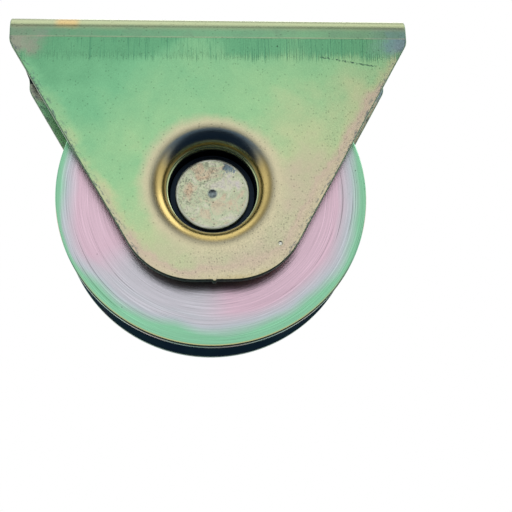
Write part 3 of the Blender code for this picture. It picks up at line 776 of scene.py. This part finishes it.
def chromated_pressing(name, seed, front):
    """Yellow-chromate zinc-plated pressed steel: a soft shine under a film that shifts from green to
    beige with its thickness, thinner along edges and round the dish, with pits, scuffs and press marks."""
    c = colours()
    s = sizes()
    material, tree, place = new_material(name)
    x, _, z = add_node(tree, "ShaderNodeSeparateXYZ", {0: place}, out="all")
    shift = (seed * 37.0, 0, seed * 11.0)
    moved = add_node(tree, "ShaderNodeVectorMath", {0: place, 1: shift}, operation="ADD")

    # Film thickness: clouds of 30 mm, mottle of 7 mm, and a drift that thins it to the lower right
    clouds = clouded(moved, 0.033, 2.0, 0.5, 0.6)
    mottle = clouded(moved, 0.14, 4.0, 0.6)
    film = clouds * 0.34 + mottle * 0.14 - x * 0.0030 + z * 0.0052 + 0.53

    # Distance from the slanted edges and the round bottom, where the film thins to beige
    lean = math.cos(s.slant_angle)
    rise = math.sin(s.slant_angle)
    slant = z * lean - x.math("ABSOLUTE") * rise + (HALF_LENGTH * rise + s.slant_start * lean) / MM
    border = slant.math("SMOOTH_MIN", z - BRACKET_LOW.z / MM, 14.0) + mottle * 6.0 - 3.0
    film = film + fade(border, 0.5, 5.5, -0.16, 0.0)
    colour = add_node(tree, "ShaderNodeValToRGB", {"Fac": film}, stops=[
        (0.0, c.gold), (0.16, c.sand), (0.30, c.beige), (0.42, c.lime), (0.55, c.light_green),
        (0.74, c.green), (0.90, c.teal), (1.0, c.slate),
    ])

    # A beige halo where the plate rolls into the dish, and gold down the slope
    _, from_axle, spoke = about_axle(place)
    colour = tinted(fade(from_axle + mottle * 3.0 - 1.5, 25.0, 20.0, 0.0, 0.95), colour, c.sand)
    colour = tinted(fade(from_axle, 19.3, 17.8), colour, c.gold)
    # Upwards of the axle the dish is painted slate rather than gold, down to its throat: painted shade on the
    # upper slope, which faces down
    upwards = add_node(tree, "ShaderNodeSeparateXYZ", {0: spoke}, out=1)
    thick = fade(upwards, 0.3, 0.9, 0.0, 0.9) * fade(from_axle, 19.5, 18.4) * fade(from_axle, 14.9, 15.4)
    colour = tinted(thick, colour, c.slate)
    # The pierced land round the mouth is painted lime: a painted highlight along the mouth's edge
    colour = tinted(fade(from_axle, 14.8, 14.6), colour, c.lime)

    # The upper corners go mauve on the left and blue on the right, and slanted edges are scuffed
    corner = fade(x.math("ABSOLUTE") + mottle * 14.0, 56.0, 68.0) * fade(z + mottle * 8.0, -12.5, -8.0)
    corner = corner * fade(z, -3.6, -4.6)
    corner_colour = tinted(fade(x, -5.0, 5.0), (*c.mauve, 1.0), c.slate)
    colour = tinted(corner * 0.85, colour, corner_colour)
    streaks = add_node(tree, "ShaderNodeCombineXYZ", {0: slant * 1.1, 1: z * 0.45, 2: seed})
    worn = clouded(streaks, 1.0, 5.0, 0.75)
    scuff = fade(slant + worn * 3.0, 4.2, 2.4) * fade(worn, 0.50, 0.60)
    colour = tinted(scuff * 0.75, colour, to_linear("#6F8088"))
    relief = None
    if front:
        colour, relief = press_marks(place, colour, clouds, mottle, corner)

    # Speckle of the plating near 0.5 mm, crowded pits to the lower right, and a few larger dark ones
    fine = clouded(moved, 2.4, 3.0, 0.75)
    crowd = fade(x - z, 45.0, 110.0, 0.0, 0.5) * fade(clouds, 0.35, 0.55)
    small = pitted(moved, 0.8, 0.42, 0.12, crowd)
    large = pitted(moved, 6.5, 0.55, 0.32)
    shade = (fine - 0.5) * (crowd * 1.2 + 0.36) + 1.0
    shade = shade * (1.0 - small * 0.25) * (1.0 - large * 0.72)

    # Sheared edges are grey-green and granular
    cut = add_node(tree, "ShaderNodeAttribute", attribute_name="cut", out=2)
    grit = clouded(moved, 1.5, 5.0, 0.7)
    cut_colour = add_node(tree, "ShaderNodeValToRGB", {"Fac": grit}, stops=[
        (0.38, to_linear("#4C7566")), (0.62, to_linear("#9CB98E")),
    ])
    colour = tinted(cut, colour, cut_colour)
    # The seat's steep wall is painted near black: painted shade deep in the seat's recess
    mouth = s.seat_radius / MM
    colour = tinted(fade(from_axle, mouth - 0.02, mouth - 0.14), colour, to_linear("#1D252F"))
    colour = shaded(colour, shade)

    height = fine + grit * cut - small * 0.5 - large * 1.5
    bump = add_node(tree, "ShaderNodeBump", {"Height": height, "Distance": 0.02 * MM, "Strength": 1.0})
    if front:
        bump = add_node(tree, "ShaderNodeBump", {
            "Height": relief, "Distance": 0.04 * MM, "Strength": 1.0, "Normal": bump,
        })
    finish_material(tree, colour, mottle * 0.08 + cut * 0.15 + scuff * 0.12 + 0.20, bump)
    return material


def chromated_turning(name):
    """Yellow-chromate zinc-plated turned steel: a silky face with circular lathe marks under a film
    that runs from pink through silver to green and straw at the rim, and blue to pink in the groove."""
    c = colours()
    s = sizes()
    material, tree, place = new_material(name)
    _, y, z = add_node(tree, "ShaderNodeSeparateXYZ", {0: place}, out="all")
    _, radius, spoke = about_axle(place)

    # Broad clouds shift the bands by a few millimetres round the wheel
    clouds = clouded(place, 0.030)
    rim = WHEEL_RADIUS / MM
    low = fade(z, AXLE_Z / MM - 20.0, AXLE_Z / MM - 48.0)
    banded = radius + clouds * 12.0 - 7.0 + low * 2.5
    share = add_node(tree, "ShaderNodeMapRange", {"Value": banded, "From Min": rim - 24.0, "From Max": rim})
    colour = add_node(tree, "ShaderNodeValToRGB", {"Fac": share}, stops=[
        (0.0, c.silver), (0.16, c.pink), (0.60, c.pink), (0.80, c.silver), (0.94, c.rim_green),
        (1.0, c.rim_green),
    ])
    quarter = towards(spoke, (-0.45, -0.89, 0.0))
    paler = fade(quarter, 0.80, 0.96, 0.0, 0.75) * fade(banded, rim - 5.0, rim - 8.0)
    colour = tinted(paler, colour, c.silver)
    colour = tinted(fade(radius + clouds * 3.0, rim - 0.6, rim + 0.6), colour, c.rim_green)
    colour = tinted(fade(radius, rim - 0.9, rim - 0.45) * low, colour, c.rim_straw)

    # Lathe marks: noise stretched round the axle, so each mark is an arc of some centimetres
    pitch = s.turning_pitch / MM
    cos, sin, _ = add_node(tree, "ShaderNodeSeparateXYZ", {0: spoke}, out="all")
    marks = []
    for per_pitch, arcs in ((0.9, 1.0), (1.6, 2.0)):
        stretched = add_node(tree, "ShaderNodeCombineXYZ", {
            0: radius * (per_pitch / pitch), 1: cos * arcs + y * 2.0, 2: sin * arcs,
        })
        marks.append(clouded(stretched, 1.0))
    coarse, fine = marks
    torn = fade(coarse, 0.66, 0.70, 1.0, 0.62)
    shade = (fine * 0.50 + 0.76) * torn + fade(fine, 0.60, 0.72, 0.0, 0.12)

    # The groove and the lands beside it, by their distance from the wheel's middle
    off_middle = y.math("ABSOLUTE")
    groove = s.groove_width / 2 / MM
    inside = fade(off_middle, groove + 0.05, groove - 0.25)
    inside = inside * fade(radius, rim - groove - 4.0, rim - groove - 2.0)
    around = clouded(place, 0.05, 2.0, 0.5, 0.5)
    groove_colour = add_node(tree, "ShaderNodeValToRGB", {"Fac": around}, stops=[
        (0.30, to_linear("#8FAEC8")), (0.42, c.slate), (0.52, to_linear("#8FBDB8")), (0.60, c.pink),
        (0.72, c.gold),
    ])
    colour = tinted(inside, colour, groove_colour)
    land = fade(radius, rim - 0.25, rim - 0.10) * fade(off_middle, groove, groove + 0.15)
    land_colour = add_node(tree, "ShaderNodeValToRGB", {"Fac": around}, stops=[
        (0.35, to_linear("#7FA9A8")), (0.50, c.rim_green), (0.65, c.beige),
    ])
    colour = tinted(land, colour, land_colour)
    shade = shade * (1.0 - pitted(place, 2.6, 0.40, 0.10) * 0.6)
    height = fine + coarse * 0.3
    bump = add_node(tree, "ShaderNodeBump", {"Height": height, "Distance": 0.022 * MM, "Strength": 1.0})
    finish_material(tree, shaded(colour, shade), 0.27, bump)
    return material


def riveted_head(name):
    """Zinc-plated steel spun over by the riveting die: cream film, chipped and pitted, pale at its rim."""
    c = colours()
    material, tree, place = new_material(name)
    offset, from_axle, _ = about_axle(place)
    patches = clouded(place, 0.17, 3.0, 0.55, 0.8)
    colour = add_node(tree, "ShaderNodeValToRGB", {"Fac": patches}, stops=[
        (0.30, to_linear("#F2EAE6")), (0.42, c.cream), (0.50, to_linear("#E2ECC8")),
        (0.58, to_linear("#F0E8CA")), (0.70, to_linear("#F2D8B8")),
    ])

    # A bare bluish patch near the rim, and the shaded centre mark
    bare_centre = (6.0, 9.5, 0.0)
    to_bare = add_node(tree, "ShaderNodeVectorMath", {0: offset, 1: bare_centre}, out=1, operation="DISTANCE")
    bare = fade(clouded(place, 1.1, 5.0, 0.75) * 9.0 + to_bare, 7.4, 6.2, 0.0, 0.85)
    colour = tinted(bare, colour, to_linear("#6E8CA4"))
    colour = tinted(fade(from_axle, 1.9, 1.1, 0.0, 0.8), colour, to_linear("#8CA0AE"))

    # Hammered flecks of 0.5 to 1 mm, most of them on the upper left, and round pits of 0.4 mm
    leftwards = towards(offset, (-0.8, 0.6, 0.0))
    area = fade(leftwards + patches * 12.0, 3.0, 11.0, 0.45, 1.0)
    flecks = fade(clouded(place, 0.95, 6.0, 0.78, 1.5), 0.50, 0.42) * area
    shade = (1.0 - flecks * 0.40) * (1.0 - pitted(place, 1.35, 0.42, 0.35) * 0.6)
    # The rim is paler film, brightened further by a painted highlight line all round it
    colour = tinted(fade(from_axle, 10.9, 11.4, 0.0, 0.85), shaded(colour, shade), to_linear("#F8FAEC"))
    bump = add_node(tree, "ShaderNodeBump", {"Height": shade, "Distance": 0.03 * MM, "Strength": 1.0})
    finish_material(tree, colour, 0.36, bump)
    return material


def plain_steel(name, hex_colour, roughness, grain_mm, relief_mm):
    """Bare steel of one tone: fine grain of the given size clouds its shine."""
    material, tree, place = new_material(name)
    fine = clouded(place, 1.0 / grain_mm, 4.0)
    tone = to_linear(hex_colour)
    colour = add_node(tree, "ShaderNodeValToRGB", {"Fac": fine}, stops=[
        (0.3, tuple(value * 0.78 for value in tone)), (0.7, tone),
    ])
    rough = fade(fine, 0.2, 0.8, roughness * 0.8, roughness * 1.2)
    bump = add_node(tree, "ShaderNodeBump", {"Height": fine, "Distance": relief_mm * MM, "Strength": 1.0})
    finish_material(tree, colour, rough, bump)
    return material


# Operators


class GATEWHEEL_OT_bracket(bpy.types.Operator):
    """Build both pressings of the bracket"""

    bl_idname = "gatewheel.bracket"
    bl_label = "Bracket pressings"

    def execute(self, context):
        s = sizes()
        front = chromated_pressing("Yellow-chromate zinc-plated pressed steel, front", 1.0, True)
        slots = (-s.slot_offset, s.slot_offset)
        bm = bent_plate(1, BRACKET_LOW.y, BRACKET_HIGH.z, s.front_bend, BRACKET_HIGH.y, slots)
        piece = settle(mesh_object("bracket_pressing", bm, front))
        hand_over(piece, "bracket", "pressed_zinc", "main_bracket")

        rear = chromated_pressing("Yellow-chromate zinc-plated pressed steel, rear", 2.0, False)
        bm = bent_plate(-1, REAR_HIGH.y, REAR_HIGH.z, s.rear_bend, REAR_LOW.y, ())
        piece = settle(mesh_object("rear_pressing", bm, rear))
        hand_over(piece, "bracket", "pressed_zinc", "rear_plate")
        return {"FINISHED"}


class GATEWHEEL_OT_weld_beads(bpy.types.Operator):
    """Build the rippled weld beads behind the base"""

    bl_idname = "gatewheel.weld_beads"
    bl_label = "Weld beads"

    def execute(self, context):
        s = sizes()
        material = plain_steel("Zinc-plated weld metal", "#B8BF96", 0.35, 0.6, 0.02)
        for node in ("weld_bead_left", "weld_bead_right"):
            low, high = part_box(node)
            # The bead's first dab swells a little past its radius
            y = high.y - 1.02 * s.bead_radius
            z = high.z - 1.02 * s.bead_radius
            ends = [(low.x + s.bead_radius / 2, y, z), (high.x - s.bead_radius / 2, y, z)]
            seam = bpy.data.meshes.new(node)
            seam.from_pydata(ends, [(0, 1)], [])
            piece = run_tree(node + "_rippled", seam, rippled_bead, {
                "radius": s.bead_radius, "ripple pitch": s.bead_pitch, "ripple share": 0.22,
                "material": material,
            })
            hand_over(piece, "bracket", "weld_zinc", node)
        return {"FINISHED"}


class GATEWHEEL_OT_axle(bpy.types.Operator):
    """Build the axle with its two riveted heads"""

    bl_idname = "gatewheel.axle"
    bl_label = "Axle"

    def execute(self, context):
        s = sizes()
        head = PIN_HIGH.x
        face = PIN_HIGH.y
        back = face - s.head_thickness
        half = [(0, face - s.mark_depth, 0), (s.mark_radius, face, 0.25 * MM)]
        rings = 16
        half += [(s.mark_radius + (head - s.mark_radius) * ring / rings, face, 0) for ring in range(1, rings)]
        half += [(head, face, s.head_rounding), (head, back, 0.1 * MM), (s.axle_neck, back, 0)]
        half += [(s.axle_neck, BEARING_HALF, 0), (s.axle_journal, BEARING_HALF, 0.2 * MM)]
        corners = half + [(radius, -axial, rounding) for radius, axial, rounding in reversed(half)]
        piece = turned_piece("riveted_axle", corners, riveted_head("Zinc-plated riveted steel"))

        # The hammered faces of the heads swell by up to 0.06 mm either way
        swell = 0.06 * MM
        for vert in piece.data.vertices:
            radius = math.hypot(vert.co.x, vert.co.z - AXLE_Z)
            if abs(vert.co.y) > face - 0.5 * MM and radius < head - 0.6 * MM:
                vert.co.y += math.copysign(noise.noise(vert.co * 260.0) * swell - swell, vert.co.y)
        hand_over(piece, "bracket", "axle_zinc", "axle_pin")
        return {"FINISHED"}


class GATEWHEEL_OT_wheel(bpy.types.Operator):
    """Build the V-groove wheel"""

    bl_idname = "gatewheel.wheel"
    bl_label = "Wheel"

    def execute(self, context):
        s = sizes()
        groove = s.groove_width / 2
        gap = s.hub_gap
        bore = OUTER_HIGH.x + gap
        corners = [
            (s.hub_shoulder, -WHEEL_HALF, 0.3 * MM), (WHEEL_RADIUS, -WHEEL_HALF, s.rim_rounding),
            (WHEEL_RADIUS, -groove, 0.3 * MM), (WHEEL_RADIUS - groove, 0, s.groove_rounding),
            (WHEEL_RADIUS, groove, 0.3 * MM), (WHEEL_RADIUS, WHEEL_HALF, s.rim_rounding),
            (bore, WHEEL_HALF, 0.3 * MM), (bore, SNAP_HIGH.y + gap, 0), (s.snap_groove, SNAP_HIGH.y + gap, 0),
            (s.snap_groove, SNAP_LOW.y - gap, 0), (bore, SNAP_LOW.y - gap, 0), (bore, -BEARING_HALF - gap, 0),
            (s.hub_shoulder, -BEARING_HALF - gap, 0.2 * MM),
        ]
        material = chromated_turning("Yellow-chromate zinc-plated turned steel")
        piece = turned_piece("turned_wheel", corners, material)
        hand_over(piece, "wheel", "turned_zinc", "v_groove_wheel")
        return {"FINISHED"}


class GATEWHEEL_OT_bearing_rings(bpy.types.Operator):
    """Build the bearing's rings and shields, and the snap ring that holds them"""

    bl_idname = "gatewheel.bearing_rings"
    bl_label = "Bearing rings"

    def execute(self, context):
        self.build_rings()
        self.build_shields()
        self.build_snap_ring()
        return {"FINISHED"}

    def build_rings(self):
        s = sizes()
        half = BEARING_HALF
        race = s.race_half
        reach = BALL_RADIUS + s.race_gap
        ground = plain_steel("Ground bearing steel", "#C9CCD2", 0.16, 0.25, 0.001)
        bore, shoulder = s.bearing_bore, INNER_HIGH.x
        corners = [(bore, half, 0.4 * MM), (bore, -half, 0.4 * MM), (shoulder, -half, 0.3 * MM)]
        corners += [(shoulder, -race, 0), (PITCH_RADIUS - reach, 0, s.race_rounding)]
        corners += [(shoulder, race, 0), (shoulder, half, 0.3 * MM)]
        piece = turned_piece("inner_ring", corners, ground)
        hand_over(piece, "bracket", "bearing_steel", "bearing_inner_ring")

        outside, lip, shoulder = OUTER_HIGH.x, s.shield_seat, s.outer_shoulder
        seat = half - s.shield_inset
        corners = [(outside, half, 0.5 * MM), (outside, -half, 0.5 * MM), (lip, -half, 0.1 * MM)]
        corners += [(lip, -seat, 0), (shoulder, -seat, 0), (shoulder, -race, 0)]
        corners += [(PITCH_RADIUS + reach, 0, s.race_rounding), (shoulder, race, 0)]
        corners += [(shoulder, seat, 0), (lip, seat, 0), (lip, half, 0.1 * MM)]
        piece = turned_piece("outer_ring", corners, ground)
        hand_over(piece, "wheel", "bearing_steel", "bearing_outer_ring")

    def build_shields(self):
        material = plain_steel("Cold-rolled shield steel", "#B4B7BC", 0.30, 0.4, 0.003)
        inner, outer = sizes().shield_bore, SHIELD_HIGH.x
        for label, side in (("front", -1), ("rear", 1)):
            near, far = side * SHIELD_LOW.y, side * SHIELD_HIGH.y
            corners = [(inner, near), (outer, near), (outer, far), (inner, far)]
            corners = [(*corner, 0.1 * MM) for corner in corners]
            piece = turned_piece("shield_" + label, corners, material)
            hand_over(piece, "wheel", "shield_steel", "bearing_shield_" + label)

    def build_snap_ring(self):
        s = sizes()
        steps = 96
        arc = [s.snap_opening / 2 - math.pi / 2 + step / steps * (math.tau - s.snap_opening)
               for step in range(steps + 1)]
        outline = [(SNAP_HIGH.x, angle) for angle in arc] + [(s.snap_bore, angle) for angle in reversed(arc)]
        shell = Shell()
        loop = []
        for radius, angle in outline:
            x, z = radius * math.cos(angle), AXLE_Z + radius * math.sin(angle)
            loop.append(shell.point((x, SNAP_LOW.y, z), (x, SNAP_HIGH.y, z)))
        shell.fill([loop], (0, -1, 0))
        spring = plain_steel("Phosphated spring steel", "#3C3D40", 0.45, 0.3, 0.006)
        piece = settle(mesh_object("flat_snap_ring", shell.close(0.12 * MM), spring))
        hand_over(piece, "wheel", "spring_steel", "snap_ring")


class GATEWHEEL_OT_balls(bpy.types.Operator):
    """Build the bearing's balls"""

    bl_idname = "gatewheel.balls"
    bl_label = "Bearing balls"

    def execute(self, context):
        material = plain_steel("Lapped chrome steel", "#D4D6DA", 0.08, 0.5, 0.0005)
        bm = bmesh.new()
        bmesh.ops.create_icosphere(bm, subdivisions=5, radius=BALL_RADIUS)
        piece = ring_of("bearing_balls", bm, PITCH_RADIUS, 0.0, material)
        nodes = [f"ball_{index + 1}" for index in range(BALL_COUNT)]
        hand_over(piece, "ball_cage", "bearing_steel", *nodes)
        return {"FINISHED"}


class GATEWHEEL_OT_cage(bpy.types.Operator):
    """Build the ribbon cage and its rivets"""

    bl_idname = "gatewheel.cage"
    bl_label = "Cage"

    def execute(self, context):
        material = plain_steel("Cold-rolled cage steel", "#A9ACB0", 0.32, 0.4, 0.003)
        for label, side in (("front", -1), ("rear", 1)):
            piece = ring_of("ribbon_" + label, self.pocket(side), 0.0, 0.0, material)
            hand_over(piece, "ball_cage", "cage_steel", "cage_half_" + label)
        piece = ring_of("cage_rivets", self.rivet(), PITCH_RADIUS, math.pi / BALL_COUNT, material)
        nodes = [f"cage_rivet_{index + 1}" for index in range(BALL_COUNT)]
        hand_over(piece, "ball_cage", "cage_steel", *nodes)
        return {"FINISHED"}

    def pocket(self, side):
        """One ball's share of a ribbon: an arch over the ball between two flats."""
        s = sizes()
        spacing = math.tau * PITCH_RADIUS / BALL_COUNT
        steps = 24
        bm = bmesh.new()
        sections = []
        section_corners = [(s.cage_bore, -1), (s.cage_radius, -1), (s.cage_radius, 1), (s.cage_bore, 1)]
        for step in range(steps + 1):
            share = step / steps - 0.5
            offset = min(abs(share * spacing), s.pocket_radius)
            height = max(s.ribbon_flat, math.sqrt(s.pocket_radius ** 2 - offset ** 2))
            angle = share * math.tau / BALL_COUNT
            section = []
            for radius, lift in section_corners:
                y = side * (height + lift * s.ribbon_thickness / 2)
                section.append(bm.verts.new((radius * math.cos(angle), y, radius * math.sin(angle))))
            sections.append(section)
        join_rings(bm, sections)
        return bm

    def rivet(self):
        """A rivet with a low head on both sides, about the +Y axis."""
        s = sizes()
        profile = [(0.0001 * MM, RIVET_HIGH.y), (0.6 * s.rivet_head, RIVET_HIGH.y - 0.05 * MM)]
        profile += [(s.rivet_head, 1.0 * MM), (s.rivet_head, 0.9 * MM), (s.rivet_shank, 0.9 * MM)]
        profile += [(radius, -axial) for radius, axial in reversed(profile)]
        angles = [math.tau * step / 20 for step in range(20)]
        bm = bmesh.new()
        rings = []
        for radius, axial in profile:
            rings.append([bm.verts.new((radius * math.cos(a), axial, radius * math.sin(a))) for a in angles])
        join_rings(bm, rings)
        return bm


class GATEWHEEL_OT_stage(bpy.types.Operator):
    """Set the floor, the lights, the sky and the camera"""

    bl_idname = "gatewheel.stage"
    bl_label = "Stage"

    def execute(self, context):
        scene = context.scene
        scene.view_settings.view_transform = "Standard"
        self.set_floor(scene)
        self.set_sky(scene)
        self.set_lights(scene)
        self.set_camera(scene)
        return {"FINISHED"}

    def set_floor(self, scene):
        bm = bmesh.new()
        bmesh.ops.create_circle(bm, cap_ends=True, segments=96, radius=1.6)
        bmesh.ops.translate(bm, verts=bm.verts, vec=(0, 0, CAD_LOW.z - 0.11))
        mesh = bpy.data.meshes.new("floor")
        bm.to_mesh(mesh)
        bm.free()
        material = bpy.data.materials.new("Matt white paper")
        material.use_nodes = True
        shader = material.node_tree.nodes["Principled BSDF"]
        shader.inputs["Base Color"].default_value = (*to_linear("#F2F2F0"), 1.0)
        shader.inputs["Roughness"].default_value = 0.9
        mesh.materials.append(material)
        floor = bpy.data.objects.new("floor", mesh)
        scene.collection.objects.link(floor)
        floor.visible_glossy = False
        floor.visible_diffuse = False

    def set_sky(self, scene):
        """A soft tent, greyer around its front panel, over a dark room, with a white backdrop."""
        world = bpy.data.worlds.new("studio")
        world.use_nodes = True
        tree = world.node_tree
        tree.nodes.clear()
        ray = add_node(tree, "ShaderNodeTexCoord", out="Generated")
        height = add_node(tree, "ShaderNodeSeparateXYZ", {0: ray}, out="all")[2]
        share = add_node(tree, "ShaderNodeMapRange", {"Value": height, "From Min": -1.0, "From Max": 1.0})
        tent = add_node(tree, "ShaderNodeValToRGB", {"Fac": share}, stops=[
            (0.0, to_linear("#222C38")), (0.36, to_linear("#242E3A")), (0.46, to_linear("#D8DBDE")),
            (0.60, to_linear("#FCFDFC")), (1.0, to_linear("#E2E3DF")),
        ])
        front = Vector((0.0, -0.94, 0.33)).normalized()
        panel = add_node(tree, "ShaderNodeValToRGB", {"Fac": towards(ray, front)}, stops=[
            (0.66, (1.0, 1.0, 1.0)), (0.80, (0.40, 0.41, 0.43)), (0.91, (0.36, 0.37, 0.39)),
            (0.978, (1.0, 1.0, 1.0)),
        ])
        # A dark stand in front and to the right shows in the left of the dish
        stand = Vector((0.51, -0.72, 0.47)).normalized()
        darker = add_node(tree, "ShaderNodeMapRange", {
            "Value": towards(ray, stand), "From Min": 0.95, "From Max": 0.98, "To Min": 1.0, "To Max": 0.25,
        })
        tent = add_node(tree, "ShaderNodeMix", {
            0: 1.0, 6: tent, 7: shaded(panel, darker),
        }, out=2, data_type="RGBA", blend_type="MULTIPLY")
        lit = add_node(tree, "ShaderNodeBackground", {"Color": tent, "Strength": 1.0})
        white = add_node(tree, "ShaderNodeBackground", {"Color": (1, 1, 1, 1), "Strength": 1.0})
        seen = add_node(tree, "ShaderNodeLightPath", out="Is Camera Ray")
        mixed = add_node(tree, "ShaderNodeMixShader", {0: seen, 1: lit, 2: white})
        add_node(tree, "ShaderNodeOutputWorld", {"Surface": mixed}, out=None)
        scene.world = world

    def set_lights(self, scene):
        target = Vector((0, 0, AXLE_Z))
        for name, place, size, power in (
            ("key softbox", (-0.15, -0.35, 1.25), 1.1, 2.0),
            ("fill softbox", (0.8, -0.45, 0.8), 0.8, 2.5),
            ("back softbox", (0.2, 1.1, 0.8), 0.9, 4.0),
        ):
            data = bpy.data.lights.new(name, "AREA")
            data.size = size
            data.energy = power
            light = bpy.data.objects.new(name, data)
            light.location = place
            light.rotation_euler = (target - Vector(place)).to_track_quat("-Z", "Y").to_euler()
            scene.collection.objects.link(light)

    def set_camera(self, scene):
        """Low in front of the wheel, looking a little up and to the right."""
        data = bpy.data.cameras.new("camera")
        data.sensor_width = 36.0
        data.lens = 63.78
        camera = bpy.data.objects.new("camera", data)
        yaw = Matrix.Rotation(math.radians(-4.278), 4, "Z")
        pitch = Matrix.Rotation(math.radians(90.0 + 14.525), 4, "X")
        roll = Matrix.Rotation(math.radians(-1.567), 4, "Z")
        place = Matrix.Translation((-7.31 * MM, BRACKET_LOW.y - 268.83 * MM, -151.85 * MM))
        camera.matrix_world = place @ yaw @ pitch @ roll
        scene.collection.objects.link(camera)
        scene.camera = camera


OPERATORS = (
    GATEWHEEL_OT_bracket,
    GATEWHEEL_OT_weld_beads,
    GATEWHEEL_OT_axle,
    GATEWHEEL_OT_wheel,
    GATEWHEEL_OT_bearing_rings,
    GATEWHEEL_OT_balls,
    GATEWHEEL_OT_cage,
    GATEWHEEL_OT_stage,
)


class GATEWHEEL_PT_panel(bpy.types.Panel):
    """Pieces, sizes and colours of the gate wheel"""

    bl_idname = "GATEWHEEL_PT_panel"
    bl_label = "Gate wheel"
    bl_space_type = "VIEW_3D"
    bl_region_type = "UI"
    bl_category = "Gate wheel"

    def draw(self, context):
        for operator in OPERATORS:
            self.layout.operator(operator.bl_idname)
        for group in (context.scene.gate_wheel_sizes, context.scene.gate_wheel_colours):
            column = self.layout.column()
            for name in group.bl_rna.properties.keys():
                if name not in ("rna_type", "name"):
                    column.prop(group, name)


CLASSES = (GateWheelSizes, GateWheelColours, *OPERATORS, GATEWHEEL_PT_panel)


def register():
    for made in CLASSES:
        bpy.utils.register_class(made)
    bpy.types.Scene.gate_wheel_sizes = PointerProperty(type=GateWheelSizes)
    bpy.types.Scene.gate_wheel_colours = PointerProperty(type=GateWheelColours)


def unregister():
    del bpy.types.Scene.gate_wheel_colours
    del bpy.types.Scene.gate_wheel_sizes
    for made in reversed(CLASSES):
        bpy.utils.unregister_class(made)


def main():
    register()
    for operator in OPERATORS:
        group, name = operator.bl_idname.split(".")
        getattr(getattr(bpy.ops, group), name)()
    bpy.context.view_layer.update()


if __name__ == "__main__":
    main()
